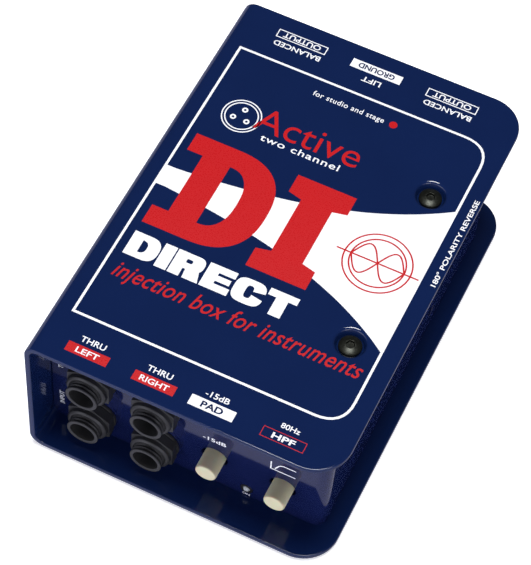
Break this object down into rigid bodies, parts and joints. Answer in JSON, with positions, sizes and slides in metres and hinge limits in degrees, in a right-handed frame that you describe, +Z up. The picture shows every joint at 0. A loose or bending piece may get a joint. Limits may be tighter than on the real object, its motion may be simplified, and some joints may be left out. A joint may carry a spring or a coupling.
{
  "type": "direct injection box",
  "caption": "Steel stage box whose C-shaped cover slides round an inner chassis with stacked jack sockets, push buttons, a light and rear output sockets.",
  "frame": {"origin": "centre of the bounding box at the bottom, under the non-slip pad", "axes": "+X right seen from the front, +Y back towards the output sockets, +Z up"},
  "size_m": [0.127, 0.19, 0.0715],
  "materials": {
    "cover_paint": "glossy navy powder coat on folded steel",
    "chassis_paint": "glossy navy powder coat on folded steel",
    "white_ink": "white screen-printing ink on the paint",
    "red_ink": "red screen-printing ink on the paint",
    "pad_rubber": "closed-cell non-slip pad",
    "black_screw": "black oxide on steel",
    "zinc_steel": "bright zinc plating",
    "circuit_board": "green solder mask on glass-epoxy laminate",
    "jack_plastic": "satin black moulded nylon",
    "switch_plastic": "black moulded nylon",
    "plunger_plastic": "natural moulded acetal",
    "button_ivory": "warm grey moulded ABS",
    "contact_metal": "gold flash on phosphor bronze",
    "spring_steel": "drawn spring wire",
    "light_lens": "clear moulded epoxy",
    "chip_epoxy": "moulded epoxy",
    "capacitor_sleeve": "shrunk vinyl sleeve",
    "film_capacitor_case": "dipped epoxy",
    "resistor_lacquer": "baked lacquer",
    "copper_winding": "enamelled copper wire"
  },
  "bodies": {
    "root": {"outer_shell": "cover_paint", "inner_chassis": "chassis_paint", "base_pad": "pad_rubber", "top_shell_screws": "black_screw", "bottom_shell_screws": "black_screw", "press_nuts": "zinc_steel", "main_board": "circuit_board", "board_standoffs": "zinc_steel", "board_screws": "zinc_steel", "jack_left_upper_body": "jack_plastic", "jack_left_lower_body": "jack_plastic", "jack_right_upper_body": "jack_plastic", "jack_right_lower_body": "jack_plastic", "jack_left_upper_contacts": "contact_metal", "jack_left_lower_contacts": "contact_metal", "jack_right_upper_contacts": "contact_metal", "jack_right_lower_contacts": "contact_metal", "jack_nuts": "jack_plastic", "jack_washers": "jack_plastic", "pad_switch_body": "switch_plastic", "filter_switch_body": "switch_plastic", "lift_switch_body": "switch_plastic", "polarity_switch_body": "switch_plastic", "pad_switch_spring": "spring_steel", "filter_switch_spring": "spring_steel", "lift_switch_spring": "spring_steel", "polarity_switch_spring": "spring_steel", "switch_pins": "zinc_steel", "power_light": "light_lens", "light_bezel": "switch_plastic", "light_leads": "zinc_steel", "left_xlr_housing": "jack_plastic", "right_xlr_housing": "jack_plastic", "left_xlr_insert": "jack_plastic", "right_xlr_insert": "jack_plastic", "left_xlr_pins": "contact_metal", "right_xlr_pins": "contact_metal", "xlr_screws": "black_screw", "amplifier_chips": "chip_epoxy", "electrolytic_capacitors": "capacitor_sleeve", "film_capacitors": "film_capacitor_case", "resistors": "resistor_lacquer", "power_coil": "copper_winding"},
    "pad_button": {"pad_button_cap": "button_ivory", "pad_switch_plunger": "plunger_plastic"},
    "filter_button": {"filter_button_cap": "button_ivory", "filter_switch_plunger": "plunger_plastic"},
    "lift_button": {"lift_button_cap": "button_ivory", "lift_switch_plunger": "plunger_plastic"},
    "polarity_button": {"polarity_button_cap": "switch_plastic", "polarity_switch_plunger": "plunger_plastic"}
  },
  "joints": [
    {"name": "pad_press", "type": "slide", "parent": "root", "child": "pad_button", "axis": [0, 1, 0], "range_m": [0, 0.003], "stiffness_N_per_m": 500, "springref_m": -0.001, "deforming": ["pad_switch_spring"]},
    {"name": "filter_press", "type": "slide", "parent": "root", "child": "filter_button", "axis": [0, 1, 0], "range_m": [0, 0.003], "stiffness_N_per_m": 500, "springref_m": -0.001, "deforming": ["filter_switch_spring"]},
    {"name": "lift_press", "type": "slide", "parent": "root", "child": "lift_button", "axis": [0, -1, 0], "range_m": [0, 0.003], "stiffness_N_per_m": 500, "springref_m": -0.001, "deforming": ["lift_switch_spring"]},
    {"name": "polarity_press", "type": "slide", "parent": "root", "child": "polarity_button", "axis": [-1, 0, 0], "range_m": [0, 0.0025], "stiffness_N_per_m": 400, "springref_m": -0.001, "deforming": ["polarity_switch_spring"]}
  ]
}
